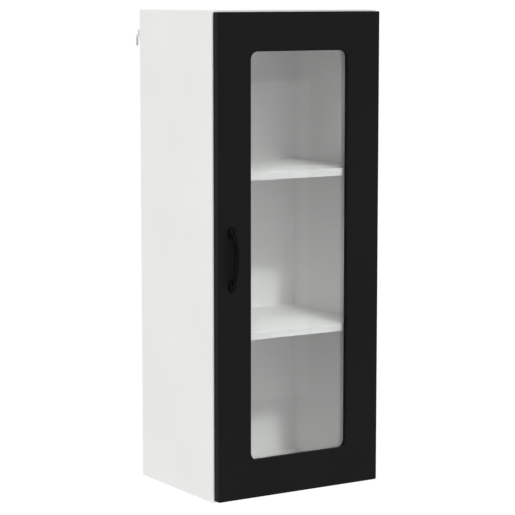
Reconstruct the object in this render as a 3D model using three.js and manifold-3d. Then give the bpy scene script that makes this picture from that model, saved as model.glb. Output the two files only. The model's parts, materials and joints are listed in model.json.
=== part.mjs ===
// Hanging wall cabinet with two shelves and one glazed, framed door on concealed hinges.
// Millimetres, +Z up. The origin is the centre of the cabinet's back face and the front faces -Y.
import * as THREE from 'three';
import { mergeVertices } from 'three/addons/utils/BufferGeometryUtils.js';
import Module from 'manifold-3d';

const wasm = await Module();
wasm.setup();

// ---------------------------------------------------------------- driving sizes
const WIDTH = 400;
const HEIGHT = 1000;
const DEPTH = 310; // back face to door front
const BOARD = 15; // sides, top, bottom and shelves
const BACK_BOARD = 3;
const BACK_LAP = 8; // the back's edge sits this far into each board around it
const DOOR_BOARD = 15;
const DOOR_GAP = 2; // door back to the carcass's front edges
const DOOR_REVEAL = 3; // door edge to the carcass's outline, all round
const DOOR_CORNER = 3;
const FIT = 0.3; // clearance between pieces that touch
const ROUND_STEPS = 16; // sides of a round piece
const CURVE_STEPS = 6; // stretches along each rounded corner of an outline
const OVERCUT = 1; // a cutting tool runs this far past the face it opens

const SHELF_COUNT = 2;
const SHELF_SETBACK = 3; // shelf front behind the carcass's front edges
const SHELF_PLAY = 1; // shelf end to side panel

const FRAME_WIDTH = 79; // door edge to window
const WINDOW_RADIUS = 16;
const LIP = 10; // frame thickness in front of the glass
const GLASS = 3;
const GLASS_LAP = 12; // the rebate is this much wider than the window
const GLASS_PLAY = 1; // glass edge to the rebate's wall
const BEAD = { width: 9, thickness: 2.2 };

const HANDLE = {
  fromDoorEdge: 34, // door edge to the handle's centre line
  screwSpacing: 109, // between the two feet
  footWidth: 20,
  footHeight: 23,
  footDepth: 7,
  gripWidth: 11.5,
  gripThickness: 6,
  projection: 21, // door front to the outside of the grip
  bow: [[0.8, 0.62], [0.45, 0.92]], // shares of the half spacing and of the full rise
  bowSteps: 20,
  footRim: 2,
  footShoulder: [0.38, 0.8], // shares of the foot's width and depth
};
const HANDLE_SCREW = { radius: 2, headRadius: 4, headThickness: 2, intoHandle: 5 };
const BUMPER = { radius: 4, thickness: 1.3, fromCorner: 12 };

const CAM = { radius: 7.5, thickness: 12, fromEnd: 24, fromFront: 50 };
const CAM_SLOT = { halfLength: 5, halfWidth: 0.8, depth: 1.2 };
const CAM_BOLT = { radius: 3, shank: 2, thread: 11, bore: 4, headFrom: 1, neck: 2, headTo: 4 };
const PIN = { radius: 2.5, intoBoard: 9, underShelf: 8, fromEdge: 37, collarRadius: 4, collar: 1.2, flat: 5 };

const HANGER = { fromTop: 29, height: 60, depth: 58, width: 16, wall: 2, floor: 3 };
const HOOK = {
  travel: 7, // up or down from the middle
  plate: 3,
  outward: 20.5, // how far it stands behind the back face
  width: 34, // of the plate against the back
  lipWidth: 4,
  drop: 34, // whole height of the hook
  tab: 10, // upper tab above the hook's bridge
  tabOutward: 13.5,
  bridge: 6,
  lipLength: 24,
  rootDrop: 21,
  rootThickness: 4,
  behindBack: 1, // air between the hook and the back face
  fromSide: 2, // hook's outer edge to the cabinet's outline
  tongueWidth: 9,
  tongueGap: 2, // casing's floor to the tongue
  tongueHeight: 18,
  slotPlay: 1, // between the tongue at its limits and the back's slot
  tongueDepth: 44,
};
const HANGER_SCREW = { radius: 3.5, head: 3, proud: 1, shank: 2, shankLength: 6 };
const HANGER_SLOT = { halfLength: 2.5, halfWidth: 0.6, depth: 1.4 };

const HINGE = { fromEnd: 100, cupInset: 5 }; // cupInset: door edge to the cup's hole
const CUP = { radius: 17.5, depth: 12, floor: 1, flange: 1.2 };
const CUP_EAR = { width: 17, height: 60, corner: 4, offset: 9.5 };
const CUP_HOLLOW = { width: 29, height: 25, radius: 9 };
const KNUCKLE = { besideCup: 4.1, ahead: 3.5, pinRadius: 1.2, eyeRadius: 2.4 }; // besideCup: from its axis
const OUTER_LINK = { length: 18, heading: -23.4, bow: 2.9, half: 1.7, low: 3.4, high: 6.2 };
const INNER_LINK = { length: 14, heading: -21, bow: 2.4, half: 1.7, high: 2.9 };
const LINK_STEPS = 5; // stretches along a link's bow
const LINK_BRIDGE = 0.6; // the outer link's bridge as a share of the link's half width
const ARM = {
  cheek: 1.4,
  cheekGap: 6.6,
  cheekFoot: 2,
  roof: 1.5,
  beyondKnuckle: 8.1,
  length: 62,
  behindFront: 3,
};
const ARM_OVER_PLATE = 2; // gap between the arm's open side and the mounting plate
const ADJUSTER = { behind: 16, radius: 2.9, proud: 1 };
const PLATE = {
  thickness: 3,
  fromFront: 28,
  width: 18,
  height: 52,
  boss: 8.5,
  bossHeight: 11,
  bossLength: 36,
};
const PLATE_SCREW = { spacing: 32, fromFront: 37, radius: 2, length: 11, headRadius: 3.6, head: 2 };
const PLATE_SLOT = { halfLength: 2.2, halfWidth: 0.5, depth: 0.8 };

// ---------------------------------------------------------------- places worked out from the sizes
const SIDE_OUT = WIDTH / 2;
const SIDE_IN = SIDE_OUT - BOARD;
const TOP_OUT = HEIGHT / 2;
const TOP_IN = TOP_OUT - BOARD;
const DOOR_FRONT = -DEPTH;
const DOOR_BACK = DOOR_FRONT + DOOR_BOARD;
const CARCASS_FRONT = DOOR_BACK + DOOR_GAP;
const BACK_FRONT = -BACK_BOARD;
const DOOR_HALF_WIDTH = SIDE_OUT - DOOR_REVEAL;
const DOOR_HALF_HEIGHT = TOP_OUT - DOOR_REVEAL;
const WINDOW_HALF_WIDTH = DOOR_HALF_WIDTH - FRAME_WIDTH;
const WINDOW_HALF_HEIGHT = DOOR_HALF_HEIGHT - FRAME_WIDTH;
const GLASS_FRONT = DOOR_FRONT + LIP + FIT;
const BEAD_FRONT = GLASS_FRONT + GLASS + FIT;
const HANDLE_X = -DOOR_HALF_WIDTH + HANDLE.fromDoorEdge;
const CUP_X = DOOR_HALF_WIDTH - HINGE.cupInset - CUP.radius;
const HINGE_HEIGHTS = { lower: -TOP_OUT + HINGE.fromEnd, upper: TOP_OUT - HINGE.fromEnd };
const KNUCKLE_X = CUP_X + KNUCKLE.besideCup;
const KNUCKLE_Y = CARCASS_FRONT - KNUCKLE.ahead;
const SIDES = { left: -1, right: 1 };

// ---------------------------------------------------------------- finishes
function finish(color, roughness, metalness) {
  return new THREE.MeshStandardMaterial({ color, roughness, metalness });
}
const WHITE_BOARD = finish(0xe8e7e6, 0.5, 0);
const BLACK_FRAME = finish(0x1d1d1e, 0.55, 0);
const BLACK_METAL = finish(0x18181a, 0.4, 0.6);
const BLACK_RUBBER = finish(0x202020, 0.8, 0);
const CLEAR_GLASS = finish(0xdfe6e4, 0.03, 0);
const STEEL = finish(0xb9bcc0, 0.35, 0.95);
const ZINC = finish(0xa6a8aa, 0.45, 0.9);
const WHITE_PLASTIC = finish(0xdedddb, 0.55, 0);
const CLEAR_PLASTIC = finish(0xe4e6e6, 0.4, 0);

// ---------------------------------------------------------------- shape helpers
function solid(geometry) {
  const bare = geometry.clone();
  bare.deleteAttribute('normal');
  bare.deleteAttribute('uv');
  const merged = mergeVertices(bare, 1e-4);
  const vertProperties = new Float32Array(merged.attributes.position.array);
  const triVerts = new Uint32Array(merged.index.array);
  return new wasm.Manifold(new wasm.Mesh({ numProp: 3, vertProperties, triVerts }));
}

function geometryOf(manifold) {
  const mesh = manifold.getMesh();
  const geometry = new THREE.BufferGeometry();
  geometry.setAttribute('position', new THREE.BufferAttribute(mesh.vertProperties, 3));
  geometry.setIndex(new THREE.BufferAttribute(mesh.triVerts, 1));
  geometry.computeVertexNormals();
  return geometry;
}

function cut(body, ...tools) {
  return geometryOf(tools.reduce((rest, tool) => rest.subtract(solid(tool)), solid(body)));
}

function join(...bodies) {
  return geometryOf(bodies.slice(1).reduce((whole, body) => whole.add(solid(body)), solid(bodies[0])));
}

// a box between two values on each axis, in either order
function box(x, y, z) {
  const size = [x, y, z].map(([a, b]) => Math.abs(b - a));
  const middle = [x, y, z].map(([a, b]) => (a + b) / 2);
  return new THREE.BoxGeometry(...size).translate(...middle);
}

// a round rod along one axis between two values; at gives its place on the other two axes
function rod(axis, at, [from, to], radius, steps = ROUND_STEPS) {
  const geometry = new THREE.CylinderGeometry(radius, radius, Math.abs(to - from), steps);
  const middle = (from + to) / 2;
  if (axis === 'x') return geometry.rotateZ(Math.PI / 2).translate(middle, at[0], at[1]);
  if (axis === 'y') return geometry.translate(at[0], middle, at[1]);
  return geometry.rotateX(Math.PI / 2).translate(at[0], at[1], middle);
}

function roundedRectangle(halfWidth, halfHeight, radius) {
  const shape = new THREE.Shape();
  shape.absarc(halfWidth - radius, halfHeight - radius, radius, 0, Math.PI / 2);
  shape.absarc(radius - halfWidth, halfHeight - radius, radius, Math.PI / 2, Math.PI);
  shape.absarc(radius - halfWidth, radius - halfHeight, radius, Math.PI, 1.5 * Math.PI);
  shape.absarc(halfWidth - radius, radius - halfHeight, radius, 1.5 * Math.PI, 2 * Math.PI);
  shape.closePath();
  return shape;
}

function extruded(shape, depth) {
  return new THREE.ExtrudeGeometry(shape, { depth, bevelEnabled: false, curveSegments: CURVE_STEPS });
}

// an outline drawn as seen from the front, extruded between two depths
function frontal(shape, front, back) {
  return extruded(shape, back - front).rotateX(Math.PI / 2).translate(0, back, 0);
}

// an outline drawn in plan, extruded between two heights
function plan(shape, low, high) {
  return extruded(shape, high - low).translate(0, 0, low);
}

// an outline drawn with depth across and height up, extruded between two values of x
function sideways(shape, from, to) {
  const turn = new THREE.Matrix4().makeBasis(
    new THREE.Vector3(0, 1, 0),
    new THREE.Vector3(0, 0, 1),
    new THREE.Vector3(1, 0, 0),
  );
  return extruded(shape, to - from).applyMatrix4(turn).translate(from, 0, 0);
}

const cabinet = new THREE.Group();

function add(name, geometry, material) {
  const mesh = new THREE.Mesh(geometry, material);
  mesh.name = name;
  cabinet.add(mesh);
}

// ---------------------------------------------------------------- joints between the boards
const CAM_ROWS = { front: CARCASS_FRONT + CAM.fromFront, rear: BACK_FRONT - CAM.fromFront };
const CAM_BOARDS = { top: TOP_OUT - BOARD / 2, bottom: -TOP_OUT + BOARD / 2 };
const CAM_X = SIDE_IN - CAM.fromEnd;

const SHELF_BAY = (2 * TOP_IN - SHELF_COUNT * BOARD) / (SHELF_COUNT + 1);
const SHELF_BOTTOMS = { lower: -TOP_IN + SHELF_BAY, upper: -TOP_IN + 2 * SHELF_BAY + BOARD };
const SHELF_FRONT = CARCASS_FRONT + SHELF_SETBACK;
const SHELF_BACK = BACK_FRONT - FIT;
const PIN_ROWS = { front: SHELF_FRONT + PIN.fromEdge, rear: SHELF_BACK - PIN.fromEdge };

const PLATE_SCREW_Y = CARCASS_FRONT + PLATE_SCREW.fromFront;

function boltHole(side, y, z) {
  const ends = [side * (SIDE_IN - OVERCUT), side * (SIDE_IN + CAM_BOLT.thread + FIT)];
  return rod('x', [y, z], ends, CAM_BOLT.radius + FIT);
}

function pinHole(side, y, z) {
  const ends = [side * (SIDE_IN - OVERCUT), side * (SIDE_IN + PIN.intoBoard + FIT)];
  return rod('x', [y, z], ends, PIN.radius + FIT);
}

function plateScrewHoles(z) {
  return [-1, 1].map((end) => {
    const height = z + (end * PLATE_SCREW.spacing) / 2;
    const depth = [SIDE_IN - OVERCUT, SIDE_IN + PLATE_SCREW.length + FIT];
    return rod('x', [PLATE_SCREW_Y, height], depth, PLATE_SCREW.radius + FIT);
  });
}

function sidePanel(side) {
  const board = box([side * SIDE_IN, side * SIDE_OUT], [CARCASS_FRONT, 0], [-TOP_OUT, TOP_OUT]);
  const rebate = box(
    [side * (SIDE_IN - OVERCUT), side * (SIDE_IN + BACK_LAP + FIT)],
    [BACK_FRONT - FIT, OVERCUT],
    [-TOP_OUT - OVERCUT, TOP_OUT + OVERCUT],
  );
  const holes = [];
  for (const y of Object.values(CAM_ROWS)) {
    for (const z of Object.values(CAM_BOARDS)) holes.push(boltHole(side, y, z));
  }
  for (const y of Object.values(PIN_ROWS)) {
    for (const z of Object.values(SHELF_BOTTOMS)) holes.push(pinHole(side, y, z - PIN.radius - FIT));
  }
  if (side === SIDES.right) holes.push(...Object.values(HINGE_HEIGHTS).flatMap(plateScrewHoles));
  return cut(board, rebate, ...holes);
}

// the top or bottom board: its cam locks are let into its lower face
function endPanel(end) {
  const half = SIDE_IN - FIT;
  const outer = end * TOP_OUT;
  const inner = end * TOP_IN;
  const middle = (outer + inner) / 2;
  const lowFace = middle - BOARD / 2;
  const board = box([-half, half], [CARCASS_FRONT, 0], [inner, outer]);
  const rebate = box(
    [-half - OVERCUT, half + OVERCUT],
    [BACK_FRONT - FIT, OVERCUT],
    [inner - end * OVERCUT, end * (TOP_IN + BACK_LAP + FIT)],
  );
  const pockets = [];
  for (const y of Object.values(CAM_ROWS)) {
    for (const side of Object.values(SIDES)) {
      const pocket = [lowFace - OVERCUT, lowFace + CAM.thickness + 2 * FIT];
      pockets.push(rod('z', [side * CAM_X, y], pocket, CAM.radius + FIT));
      pockets.push(rod('x', [y, middle], [side * CAM_X, side * (half + OVERCUT)], CAM_BOLT.bore));
    }
  }
  return cut(board, rebate, ...pockets);
}

function camLock(side, y, middle) {
  const low = middle - BOARD / 2 + FIT;
  const body = rod('z', [side * CAM_X, y], [low, low + CAM.thickness], CAM.radius);
  const pocketEnds = [side * CAM_X, side * (CAM_X + CAM.radius + OVERCUT)];
  const headPocket = rod('x', [y, middle], pocketEnds, CAM_BOLT.bore);
  const slot = box(
    [side * CAM_X - CAM_SLOT.halfLength, side * CAM_X + CAM_SLOT.halfLength],
    [y - CAM_SLOT.halfWidth, y + CAM_SLOT.halfWidth],
    [low - OVERCUT, low + CAM_SLOT.depth],
  );
  return cut(body, headPocket, slot);
}

function camBolt(side, y, z) {
  const end = side * (SIDE_IN + CAM_BOLT.thread);
  const headEnds = [side * (CAM_X + CAM_BOLT.headFrom), side * (CAM_X + CAM_BOLT.headTo)];
  const shank = rod('x', [y, z], [side * (CAM_X + CAM_BOLT.neck), end], CAM_BOLT.shank);
  const thread = rod('x', [y, z], [side * SIDE_IN, end], CAM_BOLT.radius);
  const head = rod('x', [y, z], headEnds, CAM_BOLT.radius);
  return join(shank, thread, head);
}

function addCarcass() {
  add('side_panel_left', sidePanel(SIDES.left), WHITE_BOARD);
  add('side_panel_right', sidePanel(SIDES.right), WHITE_BOARD);
  add('top_panel', endPanel(1), WHITE_BOARD);
  add('bottom_panel', endPanel(-1), WHITE_BOARD);
  for (const [board, z] of Object.entries(CAM_BOARDS)) {
    for (const [sideName, side] of Object.entries(SIDES)) {
      for (const [row, y] of Object.entries(CAM_ROWS)) {
        add(`cam_lock_${board}_${sideName}_${row}`, camLock(side, y, z), ZINC);
        add(`cam_bolt_${board}_${sideName}_${row}`, camBolt(side, y, z), STEEL);
      }
    }
  }
}

// ---------------------------------------------------------------- hangers in the two top rear corners
const HANGER_MIDDLE = TOP_OUT - HANGER.fromTop - HANGER.height / 2;
const HANGER_REAR = BACK_FRONT - FIT;
const TONGUE_MIDDLE = SIDE_IN - HANGER.floor - HOOK.tongueGap - HOOK.tongueWidth / 2;

function backPanel() {
  const halfWidth = SIDE_IN + BACK_LAP;
  const halfHeight = TOP_IN + BACK_LAP;
  const board = box([-halfWidth, halfWidth], [BACK_FRONT, 0], [-halfHeight, halfHeight]);
  const halfHigh = HOOK.tongueHeight / 2 + HOOK.travel + HOOK.slotPlay;
  const halfAcross = HOOK.tongueWidth / 2 + HOOK.slotPlay;
  const slots = Object.values(SIDES).map((side) => {
    return box(
      [side * (TONGUE_MIDDLE - halfAcross), side * (TONGUE_MIDDLE + halfAcross)],
      [BACK_FRONT - OVERCUT, OVERCUT],
      [HANGER_MIDDLE - halfHigh, HANGER_MIDDLE + halfHigh],
    );
  });
  return cut(board, ...slots);
}

// a casing on the side panel's inner face, open behind, with a hole in front for its screw
function hangerCasing(side) {
  const high = HANGER_MIDDLE + HANGER.height / 2;
  const low = HANGER_MIDDLE - HANGER.height / 2;
  const front = HANGER_REAR - HANGER.depth;
  const outside = SIDE_IN - FIT;
  const shell = box([side * outside, side * (outside - HANGER.width)], [front, HANGER_REAR], [low, high]);
  const hollow = box(
    [side * (outside - HANGER.floor), side * (outside - HANGER.width + HANGER.wall)],
    [front + HANGER.floor, HANGER_REAR + OVERCUT],
    [low + HANGER.floor, high - HANGER.floor],
  );
  const at = [side * TONGUE_MIDDLE, HANGER_MIDDLE];
  const holeEnds = [front - OVERCUT, front + HANGER.floor + OVERCUT];
  const screwHole = rod('y', at, holeEnds, HANGER_SCREW.radius + FIT);
  return cut(shell, hollow, screwHole);
}

// the hook's outline: depth across, height up
function hookOutline() {
  const near = HOOK.behindBack;
  const far = HOOK.outward;
  const top = HANGER_MIDDLE + HOOK.drop / 2;
  const bridgeTop = top - HOOK.tab;
  const bridgeLow = bridgeTop - HOOK.bridge;
  const round = HOOK.plate;
  const shape = new THREE.Shape();
  shape.moveTo(near, top - HOOK.tab - HOOK.rootDrop);
  shape.lineTo(near + HOOK.rootThickness, top - HOOK.tab - HOOK.rootDrop);
  shape.lineTo(near + HOOK.rootThickness, bridgeLow);
  shape.lineTo(far - HOOK.plate - round, bridgeLow);
  shape.quadraticCurveTo(far - HOOK.plate, bridgeLow, far - HOOK.plate, bridgeLow - round);
  shape.lineTo(far - HOOK.plate, bridgeTop - HOOK.lipLength);
  shape.lineTo(far, bridgeTop - HOOK.lipLength);
  shape.lineTo(far, bridgeTop - 2 * round);
  shape.quadraticCurveTo(far, bridgeTop, far - 2 * round, bridgeTop);
  shape.lineTo(HOOK.tabOutward, bridgeTop);
  shape.lineTo(HOOK.tabOutward, top - round);
  shape.quadraticCurveTo(HOOK.tabOutward, top, HOOK.tabOutward - round, top);
  shape.lineTo(near, top);
  shape.closePath();
  return shape;
}

// a narrow hook at the outer end of a plate that reaches in to the tongue
function hangerHook(side) {
  const outer = SIDE_OUT - HOOK.fromSide;
  const ends = [side * outer, side * (outer - HOOK.lipWidth)].sort((a, b) => a - b);
  const hook = sideways(hookOutline(), ends[0], ends[1]);
  const plateTop = HANGER_MIDDLE + HOOK.drop / 2 - HOOK.tab;
  const plate = box(
    [side * outer, side * (outer - HOOK.width)],
    [HOOK.behindBack, HOOK.behindBack + HOOK.rootThickness],
    [plateTop - HOOK.rootDrop, plateTop],
  );
  const tongue = box(
    [side * (TONGUE_MIDDLE - HOOK.tongueWidth / 2), side * (TONGUE_MIDDLE + HOOK.tongueWidth / 2)],
    [HANGER_REAR - HOOK.tongueDepth, HOOK.behindBack + OVERCUT],
    [HANGER_MIDDLE - HOOK.tongueHeight / 2, HANGER_MIDDLE + HOOK.tongueHeight / 2],
  );
  return join(hook, plate, tongue);
}

function hangerScrew(side) {
  const at = [side * TONGUE_MIDDLE, HANGER_MIDDLE];
  const face = HANGER_REAR - HANGER.depth - HANGER_SCREW.proud;
  const headEnd = face + HANGER_SCREW.head + HANGER.floor;
  const shankEnd = Math.min(headEnd + HANGER_SCREW.shankLength, HANGER_REAR - HOOK.tongueDepth - FIT);
  const head = rod('y', at, [face, headEnd], HANGER_SCREW.radius);
  const shank = rod('y', at, [face + HANGER_SCREW.proud, shankEnd], HANGER_SCREW.shank);
  const slot = box(
    [at[0] - HANGER_SLOT.halfLength, at[0] + HANGER_SLOT.halfLength],
    [face - OVERCUT, face + HANGER_SLOT.depth],
    [at[1] - HANGER_SLOT.halfWidth, at[1] + HANGER_SLOT.halfWidth],
  );
  return cut(join(head, shank), slot);
}

function addBackAndHangers() {
  add('back_panel', backPanel(), WHITE_BOARD);
  for (const [sideName, side] of Object.entries(SIDES)) {
    add(`hanger_casing_${sideName}`, hangerCasing(side), WHITE_PLASTIC);
    add(`hanger_hook_${sideName}`, hangerHook(side), STEEL);
    add(`hanger_screw_${sideName}`, hangerScrew(side), STEEL);
  }
}

// ---------------------------------------------------------------- shelves on pins
function shelfPin(side, y, z) {
  const shankEnds = [side * (SIDE_IN + PIN.intoBoard), side * (SIDE_IN - PIN.underShelf)];
  const shank = rod('x', [y, z], shankEnds, PIN.radius);
  const collarEnds = [side * (SIDE_IN - FIT), side * (SIDE_IN - FIT - PIN.collar)];
  const collar = rod('x', [y, z], collarEnds, PIN.collarRadius);
  const flat = box(
    [side * SIDE_IN, side * (SIDE_IN - PIN.underShelf)],
    [y - PIN.flat, y + PIN.flat],
    [z + PIN.radius, z + PIN.flat],
  );
  return cut(join(shank, collar), flat);
}

function addShelves() {
  const half = SIDE_IN - SHELF_PLAY;
  for (const [level, bottom] of Object.entries(SHELF_BOTTOMS)) {
    const shelf = box([-half, half], [SHELF_FRONT, SHELF_BACK], [bottom, bottom + BOARD]);
    add(`shelf_${level}`, shelf, WHITE_BOARD);
    for (const [sideName, side] of Object.entries(SIDES)) {
      for (const [row, y] of Object.entries(PIN_ROWS)) {
        const pin = shelfPin(side, y, bottom - PIN.radius - FIT);
        add(`shelf_pin_${level}_${sideName}_${row}`, pin, STEEL);
      }
    }
  }
}

// ---------------------------------------------------------------- door
function windowOutline(grow) {
  return roundedRectangle(WINDOW_HALF_WIDTH + grow, WINDOW_HALF_HEIGHT + grow, WINDOW_RADIUS + grow);
}

function handleFeet() {
  return [-1, 1].map((end) => (end * HANDLE.screwSpacing) / 2);
}

function doorPanel() {
  const half = DOOR_HALF_WIDTH;
  const board = frontal(roundedRectangle(half, DOOR_HALF_HEIGHT, DOOR_CORNER), DOOR_FRONT, DOOR_BACK);
  const opening = frontal(windowOutline(0), DOOR_FRONT - OVERCUT, DOOR_BACK + OVERCUT);
  const rebate = frontal(windowOutline(GLASS_LAP), DOOR_FRONT + LIP, DOOR_BACK + OVERCUT);
  const cups = Object.values(HINGE_HEIGHTS).map((z) => {
    const depth = [DOOR_BACK - CUP.depth - 2 * FIT, DOOR_BACK + OVERCUT];
    return rod('y', [CUP_X, z], depth, CUP.radius + FIT, 2 * ROUND_STEPS);
  });
  const screws = handleFeet().map((z) => {
    const depth = [DOOR_FRONT - OVERCUT, DOOR_BACK + OVERCUT];
    return rod('y', [HANDLE_X, z], depth, HANDLE_SCREW.radius + FIT);
  });
  return cut(board, opening, rebate, ...cups, ...screws);
}

function glassPane() {
  return frontal(windowOutline(GLASS_LAP - GLASS_PLAY), GLASS_FRONT, GLASS_FRONT + GLASS);
}

function glassBead() {
  const outer = GLASS_LAP - FIT;
  const back = BEAD_FRONT + BEAD.thickness;
  const ring = frontal(windowOutline(outer), BEAD_FRONT, back);
  const middle = frontal(windowOutline(outer - BEAD.width), BEAD_FRONT - OVERCUT, back + OVERCUT);
  return cut(ring, middle);
}

// a bow on two domed feet, wider across the door than it is thick
function handleBow(face) {
  const foot = HANDLE.screwSpacing / 2;
  const peak = HANDLE.projection - FIT - HANDLE.gripThickness / 2;
  const section = new THREE.Shape();
  section.absellipse(0, 0, HANDLE.gripWidth / 2, HANDLE.gripThickness / 2, 0, 2 * Math.PI);
  const rise = [[1, HANDLE.footDepth / 2], ...HANDLE.bow.map(([along, up]) => [along, up * peak]), [0, peak]];
  const half = rise.map(([along, out]) => new THREE.Vector3(HANDLE_X, face - out, -along * foot));
  const mirrored = half.slice(0, -1).reverse().map((point) => new THREE.Vector3(point.x, point.y, -point.z));
  const path = new THREE.CatmullRomCurve3([...half, ...mirrored]);
  const settings = { steps: HANDLE.bowSteps, curveSegments: CURVE_STEPS, extrudePath: path };
  return new THREE.ExtrudeGeometry(section, settings);
}

function handleFoot(z, face) {
  const [shoulder, shoulderDepth] = HANDLE.footShoulder;
  const profile = [
    new THREE.Vector2(0, 0),
    new THREE.Vector2(HANDLE.footWidth / 2, 0),
    new THREE.Vector2(HANDLE.footWidth / 2, HANDLE.footRim),
    new THREE.Vector2(HANDLE.footWidth * shoulder, HANDLE.footDepth * shoulderDepth),
    new THREE.Vector2(0, HANDLE.footDepth),
  ];
  const dome = new THREE.LatheGeometry(profile, ROUND_STEPS).rotateX(Math.PI);
  return dome.scale(1, 1, HANDLE.footHeight / HANDLE.footWidth).translate(HANDLE_X, face, z);
}

function handle() {
  const face = DOOR_FRONT - FIT;
  const feet = handleFeet().map((z) => handleFoot(z, face));
  const holes = handleFeet().map((z) => {
    const depth = [DOOR_FRONT + OVERCUT, DOOR_FRONT - HANDLE_SCREW.intoHandle - 2 * FIT];
    return rod('y', [HANDLE_X, z], depth, HANDLE_SCREW.radius + FIT);
  });
  const across = [HANDLE_X - HANDLE.footWidth, HANDLE_X + HANDLE.footWidth];
  const behindFace = box(across, [face, DOOR_BACK], [-HANDLE.screwSpacing, HANDLE.screwSpacing]);
  return cut(join(handleBow(face), ...feet), behindFace, ...holes);
}

function handleScrew(z) {
  const seat = DOOR_BACK + FIT;
  const tip = DOOR_FRONT - HANDLE_SCREW.intoHandle;
  const shank = rod('y', [HANDLE_X, z], [tip, seat + HANDLE_SCREW.headThickness], HANDLE_SCREW.radius);
  const head = rod('y', [HANDLE_X, z], [seat, seat + HANDLE_SCREW.headThickness], HANDLE_SCREW.headRadius);
  return join(shank, head);
}

function addDoor() {
  add('door_panel', doorPanel(), BLACK_FRAME);
  add('glass_pane', glassPane(), CLEAR_GLASS);
  add('glass_bead', glassBead(), BLACK_RUBBER);
  add('handle', handle(), BLACK_METAL);
  const names = ['lower', 'upper'];
  handleFeet().forEach((z, i) => add(`handle_screw_${names[i]}`, handleScrew(z), STEEL));
  names.forEach((name, i) => {
    const z = (i ? 1 : -1) * (DOOR_HALF_HEIGHT - BUMPER.fromCorner);
    const x = -DOOR_HALF_WIDTH + DOOR_REVEAL / 2 + BUMPER.radius;
    const seat = DOOR_BACK + FIT;
    const bumper = rod('y', [x, z], [seat, seat + BUMPER.thickness], BUMPER.radius);
    add(`door_bumper_${name}`, bumper, CLEAR_PLASTIC);
  });
}

// ---------------------------------------------------------------- concealed hinges
function hingeCup(z) {
  const face = DOOR_BACK + FIT;
  const rim = face + CUP.flange;
  const barrel = rod('y', [CUP_X, z], [DOOR_BACK - CUP.depth, rim], CUP.radius, 2 * ROUND_STEPS);
  const ears = frontal(roundedRectangle(CUP_EAR.width / 2, CUP_EAR.height / 2, CUP_EAR.corner), face, rim);
  ears.translate(CUP_X - CUP_EAR.offset, 0, z);
  const hollow = frontal(
    roundedRectangle(CUP_HOLLOW.width / 2, CUP_HOLLOW.height / 2, CUP_HOLLOW.radius),
    DOOR_BACK - CUP.depth + CUP.floor,
    rim + OVERCUT,
  );
  hollow.translate(CUP_X, 0, z);
  return cut(join(barrel, ears), hollow);
}

// where a link's free end lies, in plan
function linkTip(link) {
  const heading = THREE.MathUtils.degToRad(link.heading);
  const along = new THREE.Vector2(-Math.cos(heading), Math.sin(heading));
  return new THREE.Vector2(KNUCKLE_X, KNUCKLE_Y).addScaledVector(along, link.length);
}

// a bowed link in plan, turning on the knuckle's pin, its free end lying in the cup
function linkOutline(link) {
  const start = new THREE.Vector2(KNUCKLE_X, KNUCKLE_Y);
  const end = linkTip(link);
  const run = end.clone().sub(start).normalize();
  const across = new THREE.Vector2(run.y, -run.x);
  const bend = start.clone().add(end).multiplyScalar(0.5).addScaledVector(across, 2 * link.bow);
  const curve = new THREE.QuadraticBezierCurve(start, bend, end);
  const edge = (side) => {
    const points = [];
    for (let i = 0; i <= LINK_STEPS; i += 1) {
      const tangent = curve.getTangent(i / LINK_STEPS);
      const normal = new THREE.Vector2(-tangent.y, tangent.x).multiplyScalar(side * link.half);
      points.push(curve.getPoint(i / LINK_STEPS).add(normal));
    }
    return points;
  };
  return new THREE.Shape([...edge(1), ...edge(-1).reverse()]);
}

function linkPlate(link, low, high) {
  const bar = plan(linkOutline(link), low, high);
  const eye = rod('z', [KNUCKLE_X, KNUCKLE_Y], [low, high], KNUCKLE.eyeRadius);
  const nose = rod('z', linkTip(link).toArray(), [low, high], link.half);
  return join(bar, eye, nose);
}

function pinClearance(z) {
  const reach = 2 * OUTER_LINK.high;
  return rod('z', [KNUCKLE_X, KNUCKLE_Y], [z - reach, z + reach], KNUCKLE.pinRadius + FIT);
}

// two cheeks joined at the free end, with the inner link between them
function outerLink(z) {
  const link = OUTER_LINK;
  const span = [z - link.high, z + link.high];
  const bridge = rod('z', linkTip(link).toArray(), span, link.half * LINK_BRIDGE);
  const cheeks = [
    linkPlate(link, z + link.low, z + link.high),
    linkPlate(link, z - link.high, z - link.low),
  ];
  return cut(join(...cheeks, bridge), pinClearance(z));
}

function innerLink(z) {
  return cut(linkPlate(INNER_LINK, z - INNER_LINK.high, z + INNER_LINK.high), pinClearance(z));
}

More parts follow.
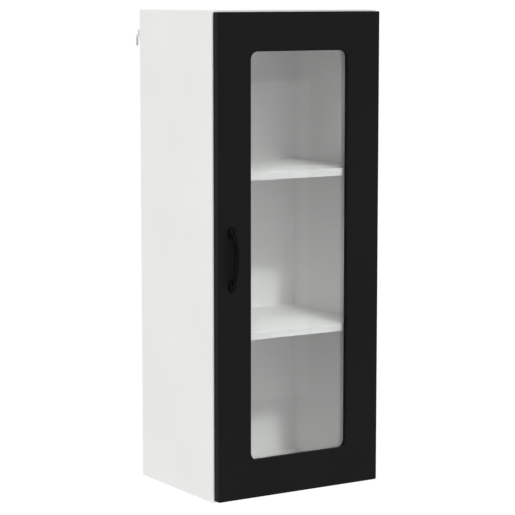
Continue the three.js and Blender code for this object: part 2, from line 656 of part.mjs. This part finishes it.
// a channel over the mounting plate, with two cheeks in front that carry the knuckle's pin
function hingeArm(z) {
  const cheekOut = ARM.cheekGap + ARM.cheek;
  const roofIn = KNUCKLE_X - ARM.beyondKnuckle;
  const start = CARCASS_FRONT + ARM.behindFront;
  const channel = box(
    [SIDE_IN - PLATE.thickness - ARM_OVER_PLATE, roofIn],
    [start, start + ARM.length],
    [z - cheekOut, z + cheekOut],
  );
  const hollow = box(
    [SIDE_IN, roofIn + ARM.roof],
    [start - OVERCUT, start + ARM.length + OVERCUT],
    [z - cheekOut + ARM.cheek, z + cheekOut - ARM.cheek],
  );
  const cheeks = [-1, 1].map((end) => {
    const shape = new THREE.Shape();
    shape.absarc(KNUCKLE_X, KNUCKLE_Y, KNUCKLE.eyeRadius, Math.PI, 2 * Math.PI);
    shape.lineTo(KNUCKLE_X + KNUCKLE.eyeRadius, start + ARM.cheekFoot);
    shape.lineTo(roofIn, start + ARM.cheekFoot);
    shape.lineTo(roofIn, start);
    shape.closePath();
    const span = [z + end * ARM.cheekGap, z + end * cheekOut].sort((a, b) => a - b);
    return plan(shape, span[0], span[1]);
  });
  const pin = rod('z', [KNUCKLE_X, KNUCKLE_Y], [z - cheekOut, z + cheekOut], KNUCKLE.pinRadius);
  const adjusterEnds = [roofIn - ADJUSTER.proud, roofIn + ARM.roof + ADJUSTER.proud];
  const adjuster = rod('x', [start + ADJUSTER.behind, z], adjusterEnds, ADJUSTER.radius);
  return join(cut(channel, hollow), ...cheeks, pin, adjuster);
}

function mountingPlate(z) {
  const face = SIDE_IN - FIT;
  const wingFront = CARCASS_FRONT + PLATE.fromFront;
  const middle = wingFront + PLATE.width / 2;
  const wing = box(
    [face, face - PLATE.thickness],
    [wingFront, wingFront + PLATE.width],
    [z - PLATE.height / 2, z + PLATE.height / 2],
  );
  const boss = box(
    [face, face - PLATE.boss],
    [middle - PLATE.bossLength / 2, middle + PLATE.bossLength / 2],
    [z - PLATE.bossHeight / 2, z + PLATE.bossHeight / 2],
  );
  const holes = [-1, 1].map((end) => {
    const at = [PLATE_SCREW_Y, z + (end * PLATE_SCREW.spacing) / 2];
    const ends = [face + OVERCUT, face - PLATE.thickness - OVERCUT];
    return rod('x', at, ends, PLATE_SCREW.radius + FIT);
  });
  return cut(join(wing, boss), ...holes);
}

function plateScrew(z) {
  const at = [PLATE_SCREW_Y, z];
  const seat = SIDE_IN - 2 * FIT - PLATE.thickness;
  const shank = rod('x', at, [SIDE_IN + PLATE_SCREW.length, seat], PLATE_SCREW.radius);
  const head = rod('x', at, [seat, seat - PLATE_SCREW.head], PLATE_SCREW.headRadius);
  const top = seat - PLATE_SCREW.head;
  const slot = box(
    [top - OVERCUT, top + PLATE_SLOT.depth],
    [PLATE_SCREW_Y - PLATE_SLOT.halfLength, PLATE_SCREW_Y + PLATE_SLOT.halfLength],
    [z - PLATE_SLOT.halfWidth, z + PLATE_SLOT.halfWidth],
  );
  return cut(join(shank, head), slot);
}

function addHinges() {
  for (const [level, z] of Object.entries(HINGE_HEIGHTS)) {
    add(`hinge_cup_${level}`, hingeCup(z), STEEL);
    add(`hinge_outer_link_${level}`, outerLink(z), STEEL);
    add(`hinge_inner_link_${level}`, innerLink(z), STEEL);
    add(`hinge_arm_${level}`, hingeArm(z), STEEL);
    add(`hinge_plate_${level}`, mountingPlate(z), ZINC);
    for (const [end, sign] of Object.entries({ low: -1, high: 1 })) {
      add(`plate_screw_${level}_${end}`, plateScrew(z + (sign * PLATE_SCREW.spacing) / 2), STEEL);
    }
  }
}

addCarcass();
addBackAndHangers();
addShelves();
addDoor();
addHinges();

export default cabinet;
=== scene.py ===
"""Hanging wall cabinet: looks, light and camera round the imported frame. Metres, +Z up, front towards -Y."""
import json
import math

import bmesh
import bpy
from mathutils import Matrix, Vector


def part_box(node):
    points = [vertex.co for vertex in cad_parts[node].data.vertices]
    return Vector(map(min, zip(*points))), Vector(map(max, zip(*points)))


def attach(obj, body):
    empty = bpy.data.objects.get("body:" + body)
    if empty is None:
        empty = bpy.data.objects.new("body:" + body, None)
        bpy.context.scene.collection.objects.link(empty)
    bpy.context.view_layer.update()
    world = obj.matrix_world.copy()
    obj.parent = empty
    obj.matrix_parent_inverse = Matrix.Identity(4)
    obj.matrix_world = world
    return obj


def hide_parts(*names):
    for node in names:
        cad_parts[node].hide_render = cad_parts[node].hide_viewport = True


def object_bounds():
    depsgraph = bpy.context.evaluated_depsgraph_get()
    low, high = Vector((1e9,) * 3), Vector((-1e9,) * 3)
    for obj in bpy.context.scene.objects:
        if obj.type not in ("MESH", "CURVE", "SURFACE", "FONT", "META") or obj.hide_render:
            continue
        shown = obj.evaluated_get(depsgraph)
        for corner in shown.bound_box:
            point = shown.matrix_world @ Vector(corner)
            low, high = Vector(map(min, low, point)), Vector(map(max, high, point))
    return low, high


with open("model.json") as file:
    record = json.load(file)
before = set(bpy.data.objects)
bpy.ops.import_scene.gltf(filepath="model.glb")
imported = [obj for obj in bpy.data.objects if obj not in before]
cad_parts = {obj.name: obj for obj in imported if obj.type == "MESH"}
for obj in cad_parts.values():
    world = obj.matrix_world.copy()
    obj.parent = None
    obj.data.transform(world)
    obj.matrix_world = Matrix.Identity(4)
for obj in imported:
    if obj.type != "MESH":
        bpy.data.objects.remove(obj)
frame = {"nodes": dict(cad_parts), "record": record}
cad_low, cad_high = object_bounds()
nodes = frame["nodes"]
scene = bpy.context.scene

MM = 0.001
TAU = 2 * math.pi


# ---------------------------------------------------------------- camera, floor and light
def make_camera():
    """Stands to the front left, a little above the middle, at the photograph's viewing angle."""
    data = bpy.data.cameras.new("camera")
    data.lens = 143.2
    data.sensor_width = 36
    camera = bpy.data.objects.new("camera", data)
    camera.location = (-2.3052, -3.8006, 0.5381)
    yaw, pitch = math.radians(32.253), math.radians(7.407)
    forward = Vector((math.sin(yaw) * math.cos(pitch), math.cos(yaw) * math.cos(pitch), -math.sin(pitch)))
    camera.rotation_mode = "QUATERNION"
    camera.rotation_quaternion = forward.to_track_quat("-Z", "Y")
    data.clip_end = 1000
    scene.collection.objects.link(camera)
    scene.camera = camera


def make_floor():
    """A pale floor well below the cabinet, which hangs."""
    half, drop = 400, 0.9
    z = cad_low.z - drop
    mesh = bpy.data.meshes.new("floor")
    corners = [(-half, -half, z), (half, -half, z), (half, half, z), (-half, half, z)]
    mesh.from_pydata(corners, [], [(0, 1, 2, 3)])
    floor = bpy.data.objects.new("floor", mesh)
    scene.collection.objects.link(floor)
    material = bpy.data.materials.new("floor_paint")
    material.use_nodes = True
    shader = material.node_tree.nodes["Principled BSDF"]
    shader.inputs["Base Color"].default_value = (0.86, 0.86, 0.855, 1)
    shader.inputs["Roughness"].default_value = 0.9
    shader.inputs["Specular IOR Level"].default_value = 0.0
    mesh.materials.append(material)


def make_light():
    world = bpy.data.worlds.new("world")
    scene.world = world
    world.use_nodes = True
    tree = world.node_tree
    background = tree.nodes["Background"]
    background.inputs["Strength"].default_value = 1.0
    split = tree.nodes.new("ShaderNodeSeparateXYZ")
    ahead = tree.nodes.new("ShaderNodeMapRange")
    ahead.interpolation_type = "SMOOTHSTEP"
    dimming = {"From Min": -1.0, "From Max": -0.1, "To Min": 0.62, "To Max": 1.0}
    for key, value in dimming.items():
        ahead.inputs[key].default_value = value
    tree.links.new(tree.nodes.new("ShaderNodeTexCoord").outputs["Generated"], split.inputs["Vector"])
    tree.links.new(split.outputs["Y"], ahead.inputs["Value"])
    tree.links.new(ahead.outputs["Result"], background.inputs["Color"])
    lamp = bpy.data.lights.new("key", "SUN")
    lamp.energy = 1.22
    lamp.angle = math.radians(6)
    key = bpy.data.objects.new("key", lamp)
    azimuth, height = math.radians(-6), math.radians(39)
    level = math.cos(height)
    towards = Vector((-math.sin(azimuth) * level, math.cos(azimuth) * level, -math.sin(height)))
    key.rotation_mode = "QUATERNION"
    key.rotation_quaternion = towards.to_track_quat("-Z", "Y")
    scene.collection.objects.link(key)
    make_softbox()
    scene.view_settings.view_transform = "Standard"


def make_softbox():
    """A low, wide panel light in front, there only for its faint reflection in the glass."""
    left, right, bottom, top, front = -3.0, 2.83, -1.3, 0.14, -4.5
    lamp = bpy.data.lights.new("softbox", "AREA")
    lamp.shape = "RECTANGLE"
    lamp.size, lamp.size_y = right - left, top - bottom
    lamp.energy = 9
    softbox = bpy.data.objects.new("softbox", lamp)
    softbox.location = ((left + right) / 2, front, (bottom + top) / 2)
    softbox.rotation_mode = "QUATERNION"
    softbox.rotation_quaternion = Vector((0, 1, 0)).to_track_quat("-Z", "Y")
    softbox.visible_camera = False
    softbox.visible_diffuse = False
    scene.collection.objects.link(softbox)


# ---------------------------------------------------------------- materials
class Surface:
    """A material's node tree, with short ways to add what most of the finishes share."""

    def __init__(self, name, roughness, metallic=0.0, specular=0.5):
        self.material = bpy.data.materials.new(name)
        self.material.use_nodes = True
        self.tree = self.material.node_tree
        self.shader = self.tree.nodes["Principled BSDF"]
        self.shader.inputs["Metallic"].default_value = metallic
        self.shader.inputs["Specular IOR Level"].default_value = specular
        self.shader.inputs["Roughness"].default_value = roughness
        self.place = self.add("ShaderNodeTexCoord").outputs["Object"]

    def add(self, kind, **settings):
        node = self.tree.nodes.new(kind)
        for key, value in settings.items():
            setattr(node, key, value)
        return node

    def link(self, source, target):
        self.tree.links.new(source, target)

    def stretched(self, scale):
        mapping = self.add("ShaderNodeMapping")
        mapping.inputs["Scale"].default_value = scale
        self.link(self.place, mapping.inputs["Vector"])
        return mapping.outputs["Vector"]

    def noise(self, scale, detail=3.0, roughness=0.5, stretch=None):
        node = self.add("ShaderNodeTexNoise")
        node.inputs["Scale"].default_value = scale
        node.inputs["Detail"].default_value = detail
        node.inputs["Roughness"].default_value = roughness
        self.link(self.stretched(stretch) if stretch else self.place, node.inputs["Vector"])
        return node.outputs["Fac"]

    def ramp(self, factor, low, high, start=0.3, stop=0.7):
        """Maps factor onto a span of values, or of colours where low and high are colours."""
        if isinstance(low, tuple):
            node = self.add("ShaderNodeValToRGB")
            node.color_ramp.elements[0].position = start
            node.color_ramp.elements[0].color = (*low, 1)
            node.color_ramp.elements[1].position = stop
            node.color_ramp.elements[1].color = (*high, 1)
            self.link(factor, node.inputs["Fac"])
            return node.outputs["Color"]
        node = self.add("ShaderNodeMapRange")
        for key, value in {"From Min": start, "From Max": stop, "To Min": low, "To Max": high}.items():
            node.inputs[key].default_value = value
        self.link(factor, node.inputs["Value"])
        return node.outputs["Result"]

    def worn_edges(self, colour, worn, radius, amount):
        """Lightens or darkens colour where the rounded normal turns away from the true one."""
        bevel = self.add("ShaderNodeBevel", samples=4)
        bevel.inputs["Radius"].default_value = radius
        geometry = self.add("ShaderNodeNewGeometry")
        dot = self.add("ShaderNodeVectorMath", operation="DOT_PRODUCT")
        self.link(bevel.outputs["Normal"], dot.inputs[0])
        self.link(geometry.outputs["Normal"], dot.inputs[1])
        sharp, flat = 0.80, 0.995
        edge = self.ramp(dot.outputs["Value"], amount, 0.0, sharp, flat)
        mix = self.add("ShaderNodeMix", data_type="RGBA")
        self.link(edge, mix.inputs["Factor"])
        self.link(colour, mix.inputs["A"])
        mix.inputs["B"].default_value = (*worn, 1)
        return mix.outputs["Result"]

    def colour(self, source):
        self.link(source, self.shader.inputs["Base Color"])

    def roughness(self, source):
        self.link(source, self.shader.inputs["Roughness"])

    def bump(self, height, strength, distance):
        node = self.add("ShaderNodeBump")
        node.inputs["Strength"].default_value = strength
        node.inputs["Distance"].default_value = distance
        self.link(height, node.inputs["Height"])
        self.link(node.outputs["Normal"], self.shader.inputs["Normal"])


def white_board(name="white_melamine", painted_front_shade=1.0):
    """White melamine: faint tone drift, fine emboss, paler corners; the last argument darkens the faces
    turned to the front, a painted shade.
    """
    s = Surface(name, 0.45, specular=0.4)
    tone = s.ramp(s.noise(6, 2), (0.782, 0.776, 0.766), (0.806, 0.800, 0.791))
    # painted shade: faces turned to the front are multiplied darker by the last argument, so they read less
    # lit
    facing = s.add("ShaderNodeVectorMath", operation="DOT_PRODUCT")
    facing.inputs[1].default_value = (0, -1, 0)
    s.link(s.add("ShaderNodeTexCoord").outputs["Normal"], facing.inputs[0])
    front_shade_mix = s.add("ShaderNodeMix", data_type="RGBA", blend_type="MULTIPLY")
    s.link(s.ramp(facing.outputs["Value"], 0.0, 1.0, 0.8, 0.95), front_shade_mix.inputs["Factor"])
    s.link(tone, front_shade_mix.inputs["A"])
    front_shade_mix.inputs["B"].default_value = (painted_front_shade, painted_front_shade, painted_front_shade, 1)
    tone = front_shade_mix.outputs["Result"]
    s.colour(s.worn_edges(tone, (0.86, 0.86, 0.855), 0.8 * MM, 0.5))
    s.roughness(s.ramp(s.noise(40, 3), 0.38, 0.52))
    s.bump(s.noise(1500, 2, 0.6), 0.10, 0.05 * MM)
    return s.material


def black_frame():
    """Black lacquered board: fine sprayed texture, edges a touch greyer where the film thins."""
    s = Surface("black_lacquer", 0.5, specular=0.08)
    tone = s.ramp(s.noise(4, 2), (0.0048, 0.0048, 0.0050), (0.0056, 0.0056, 0.0057))
    s.colour(s.worn_edges(tone, (0.014, 0.014, 0.0145), 0.7 * MM, 0.5))
    s.roughness(s.ramp(s.noise(350, 3), 0.47, 0.55))
    s.bump(s.noise(1100, 3, 0.6), 0.16, 0.06 * MM)
    return s.material


def black_metal():
    """Black powder coat: grainy film, rubbed a little brighter on its crests."""
    s = Surface("black_powder_coat", 0.4, specular=0.05)
    tone = s.ramp(s.noise(120, 4), (0.0010, 0.0010, 0.0011), (0.0022, 0.0022, 0.0023))
    s.colour(s.worn_edges(tone, (0.007, 0.007, 0.007), 1.2 * MM, 0.3))
    s.roughness(s.ramp(s.noise(200, 3), 0.24, 0.36))
    s.bump(s.noise(2600, 2, 0.6), 0.18, 0.05 * MM)
    return s.material


def steel():
    """Nickel-plated pressed steel: brushed along its length, small tone drift."""
    s = Surface("nickel_plated_steel", 0.3, metallic=1.0)
    tone = s.ramp(s.noise(60, 3), (0.60, 0.60, 0.59), (0.70, 0.70, 0.69))
    s.colour(s.worn_edges(tone, (0.78, 0.78, 0.77), 0.4 * MM, 0.5))
    s.roughness(s.ramp(s.noise(90, 3, 0.6, (1, 12, 12)), 0.22, 0.42))
    s.bump(s.noise(700, 2, 0.5, (1, 18, 18)), 0.12, 0.03 * MM)
    return s.material


def zinc():
    """Die-cast zinc: duller and grainier than the plated steel."""
    s = Surface("die_cast_zinc", 0.45, metallic=1.0)
    tone = s.ramp(s.noise(150, 4), (0.36, 0.36, 0.37), (0.48, 0.48, 0.48))
    s.colour(s.worn_edges(tone, (0.62, 0.62, 0.62), 0.4 * MM, 0.5))
    s.roughness(s.ramp(s.noise(220, 3), 0.38, 0.56))
    s.bump(s.noise(1800, 2, 0.6), 0.2, 0.04 * MM)
    return s.material


def rubber():
    s = Surface("black_bead", 0.75, specular=0.2)
    s.colour(s.ramp(s.noise(50, 3), (0.010, 0.010, 0.010), (0.016, 0.016, 0.016)))
    s.roughness(s.ramp(s.noise(300, 3), 0.65, 0.85))
    s.bump(s.noise(1500, 2), 0.2, 0.05 * MM)
    return s.material


def white_plastic():
    s = Surface("white_moulded_plastic", 0.5, specular=0.4)
    tone = s.ramp(s.noise(30, 2), (0.70, 0.69, 0.67), (0.75, 0.745, 0.73))
    s.colour(s.worn_edges(tone, (0.80, 0.80, 0.79), 0.5 * MM, 0.4))
    s.roughness(s.ramp(s.noise(120, 3), 0.42, 0.6))
    s.bump(s.noise(1300, 2, 0.6), 0.15, 0.04 * MM)
    return s.material


def soft_pad():
    s = Surface("soft_clear_pad", 0.35, specular=0.5)
    s.colour(s.ramp(s.noise(200, 2), (0.62, 0.63, 0.63), (0.72, 0.73, 0.73)))
    s.roughness(s.ramp(s.noise(300, 2), 0.25, 0.45))
    s.bump(s.noise(900, 2), 0.1, 0.03 * MM)
    return s.material


def glass():
    """Clear pane: mirrors and bends light, and lets lamps through so that the shelves behind it are lit."""
    s = Surface("clear_float_glass", 0.0)
    s.shader.inputs["Base Color"].default_value = (0.96, 0.975, 0.97, 1)
    s.shader.inputs["Transmission Weight"].default_value = 1.0
    s.shader.inputs["IOR"].default_value = 1.55
    s.roughness(s.ramp(s.noise(14, 3), 0.0, 0.012, 0.35, 0.75))
    clear = s.add("ShaderNodeBsdfTransparent")
    clear.inputs["Color"].default_value = (0.86, 0.87, 0.865, 1)
    rays = s.add("ShaderNodeLightPath")
    mix = s.add("ShaderNodeMixShader")
    out = s.tree.nodes["Material Output"]
    s.link(rays.outputs["Is Shadow Ray"], mix.inputs["Fac"])
    s.link(s.shader.outputs["BSDF"], mix.inputs[1])
    s.link(clear.outputs["BSDF"], mix.inputs[2])
    s.link(mix.outputs["Shader"], out.inputs["Surface"])
    return s.material


FINISHES = {
    "white_board": white_board(),
    "black_frame": black_frame(),
    "clear_glass": glass(),
    "black_bead": rubber(),
    "black_metal": black_metal(),
    "steel": steel(),
    "zinc": zinc(),
    "white_plastic": white_plastic(),
    "clear_plastic": soft_pad(),
}


def dress(piece, slot):
    piece.data.materials.clear()
    piece.data.materials.append(FINISHES[slot])


# ---------------------------------------------------------------- CAD pieces: finish and softened edges
EDGE_RADIUS = {
    "white_board": 0.5 * MM,
    "black_frame": 1.0 * MM,
    "clear_glass": 0.3 * MM,
    "steel": 0.25 * MM,
    "zinc": 0.25 * MM,
    "white_plastic": 0.6 * MM,
    "clear_plastic": 0.4 * MM,
}


def soften(piece, radius, steps=2):
    """Joins the split corners of a flat-shaded piece, rounds its sharp edges and shades the rest smooth."""
    weld = piece.modifiers.new("weld", "WELD")
    weld.merge_threshold = 0.002 * MM
    bevel = piece.modifiers.new("edge", "BEVEL")
    bevel.width = radius
    bevel.segments = steps
    bevel.limit_method = "ANGLE"
    bevel.angle_limit = math.radians(40)
    bevel.harden_normals = True


def dress_cad_nodes():
    # the shelves take a copy of the white board with painted shade (0.72) on their faces turned to the front
    shelf_finish_front_shaded = white_board("white_melamine_shelf", 0.72)
    for part in frame["record"]["subparts"]:
        piece = nodes[part["node"]]
        slot = part["material_slot"]
        dress(piece, slot)
        if part["node"] in ("shelf_lower", "shelf_upper"):
            piece.data.materials[0] = shelf_finish_front_shaded
        if slot in EDGE_RADIUS:
            soften(piece, EDGE_RADIUS[slot])


# ---------------------------------------------------------------- pieces made here
def new_piece(name, body, slot, bm, smooth=True):
    bmesh.ops.recalc_face_normals(bm, faces=bm.faces)
    for face in bm.faces:
        face.smooth = smooth
    mesh = bpy.data.meshes.new(name)
    bm.to_mesh(mesh)
    bm.free()
    piece = bpy.data.objects.new(name, mesh)
    scene.collection.objects.link(piece)
    dress(piece, slot)
    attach(piece, body)
    return piece


def skin(bm, rings):
    """Faces between rings of points that all have the same count, closed at both ends."""
    loops = [[bm.verts.new(point) for point in ring] for ring in rings]
    count = len(loops[0])
    for low, high in zip(loops, loops[1:]):
        for i in range(count):
            j = (i + 1) % count
            bm.faces.new((low[i], low[j], high[j], high[i]))
    bm.faces.new(loops[0])
    bm.faces.new(loops[-1])


def turned(bm, profile, centre, stretch=1.0, steps=40):
    """Spins (radius, height) pairs about the axis off the door's face; stretch lengthens them upwards."""
    rings = []
    for radius, out in profile:
        ring = []
        for i in range(steps):
            angle = TAU * i / steps
            place = (radius * math.cos(angle), -out, stretch * radius * math.sin(angle))
            ring.append(centre + Vector(place))
        rings.append(ring)
    skin(bm, rings)


def smooth_through(points, steps):
    """Catmull-Rom curve through points, with its two ends repeated."""
    padded = [points[0], *points, points[-1]]
    curve = []
    for a, b, c, d in zip(padded, padded[1:], padded[2:], padded[3:]):
        for i in range(steps):
            t = i / steps
            squared = 2 * a - 5 * b + 4 * c - d
            cubed = 3 * b - a - 3 * c + d
            curve.append(0.5 * (2 * b + (c - a) * t + squared * t**2 + cubed * t**3))
    curve.append(points[-1])
    return curve


def superellipse(half_wide, half_thick, power=2.6, steps=28):
    ring = []
    for i in range(steps):
        angle = TAU * i / steps
        c, s = math.cos(angle), math.sin(angle)
        x = math.copysign(abs(c) ** (2 / power), c) * half_wide
        y = math.copysign(abs(s) ** (2 / power), s) * half_thick
        ring.append((x, y))
    return ring


def make_handle():
    """A bow handle of one casting: two domed feet with collars, and a strap arched between them."""
    low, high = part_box("handle")
    centre_x, seat = (low.x + high.x) / 2, high.y
    foot_high, foot_wide, foot_deep = 23 * MM, 20 * MM, 6.8 * MM
    foot_z = high.z - foot_high / 2
    thick, wide = 6 * MM, 11.5 * MM
    rise = seat - low.y - thick / 2
    bm = bmesh.new()
    half = [(1.0, 3.5 * MM), (0.93, 0.36 * rise), (0.8, 0.62 * rise), (0.45, 0.92 * rise), (0.0, rise)]
    path = [Vector((centre_x, seat - out, -share * foot_z)) for share, out in half]
    path += [Vector((p.x, p.y, -p.z)) for p in reversed(path[:-1])]
    line = smooth_through(path, 8)
    rings = []
    for i, point in enumerate(line):
        run = (line[min(i + 1, len(line) - 1)] - line[max(i - 1, 0)]).normalized()
        out = Vector((0, run.z, -run.y))
        share = abs(point.z) / foot_z
        half_wide = wide / 2 * (1 - 0.22 * share**3)
        rings.append([point + Vector((x, 0, 0)) + out * y for x, y in superellipse(half_wide, thick / 2)])
    skin(bm, rings)
    radius, stretch = foot_wide / 2, foot_high / foot_wide
    tip, crown, shoulder, dome_steps = 0.0005 * MM, 0.965 * radius, 2.4 * MM, 9
    dome = [(tip, 0), (0.94 * radius, 0), (radius, 0.6 * MM), (radius, 1.7 * MM), (crown, shoulder)]
    for i in range(1, dome_steps):
        angle = i / dome_steps * math.pi / 2
        rise_here = (foot_deep - shoulder) * math.sin(angle)
        dome.append((crown * math.cos(angle), shoulder + rise_here))
    dome.append((tip, foot_deep))
    collar = [(tip, 4.2 * MM), (5.9 * MM, 4.2 * MM), (6.5 * MM, 4.9 * MM), (6.5 * MM, 6.2 * MM)]
    collar += [(6.1 * MM, 7.0 * MM), (5.2 * MM, 7.5 * MM), (tip, 7.7 * MM)]
    for side in (-1, 1):
        centre = Vector((centre_x, seat, side * foot_z))
        turned(bm, dome, centre, stretch)
        turned(bm, collar, centre - Vector((0, 0, side * 1.5 * MM)))
    piece = new_piece("handle_casting", "door", "black_metal", bm)
    remesh = piece.modifiers.new("join", "REMESH")
    remesh.mode = "VOXEL"
    remesh.voxel_size = 0.45 * MM
    remesh.use_smooth_shade = True
    smooth = piece.modifiers.new("smooth", "SMOOTH")
    smooth.factor = 0.5
    smooth.iterations = 5
    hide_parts("handle")


def cross_head(bm, centre, axis, radius, height):
    """A pan head with a cross recess, standing out of a face along axis."""
    up = axis.normalized()
    side = up.orthogonal().normalized()
    other = up.cross(side)
    steps, arm = 48, 0.2 * radius
    profile = [(1.0, 0.0), (1.0, 0.35), (0.93, 0.62), (0.78, 0.84), (0.62, 0.94)]
    rings = [[centre + (side * math.cos(a) + other * math.sin(a)) * radius * share + up * height * rise
              for a in (TAU * i / steps for i in range(steps))] for share, rise in profile]
    reach = 0.58 * radius
    for depth in (0.97, 0.30):
        ring = []
        for i in range(steps):
            a = TAU * i / steps
            x, y = math.cos(a), math.sin(a)
            # the outline of a plus sign along this direction
            bound = min(reach / max(abs(x), abs(y)), max(arm / max(min(abs(x), abs(y)), 1e-6), arm * 1.41))
            ring.append(centre + (side * x + other * y) * bound + up * height * depth)
        rings.append(ring)
    skin(bm, rings)


def make_cup_screws():
    for level in ("lower", "upper"):
        low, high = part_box("hinge_cup_" + level)
        middle = (low.z + high.z) / 2
        bm = bmesh.new()
        for end in (-1, 1):
            centre = Vector((low.x + 10.0 * MM, high.y - 0.02 * MM, middle + end * 24 * MM))
            cross_head(bm, centre, Vector((0, 1, 0)), 3.3 * MM, 1.5 * MM)
        new_piece("cup_screws_" + level, "door", "steel", bm, smooth=False)


make_camera()
make_floor()
make_light()
dress_cad_nodes()
make_handle()
make_cup_screws()
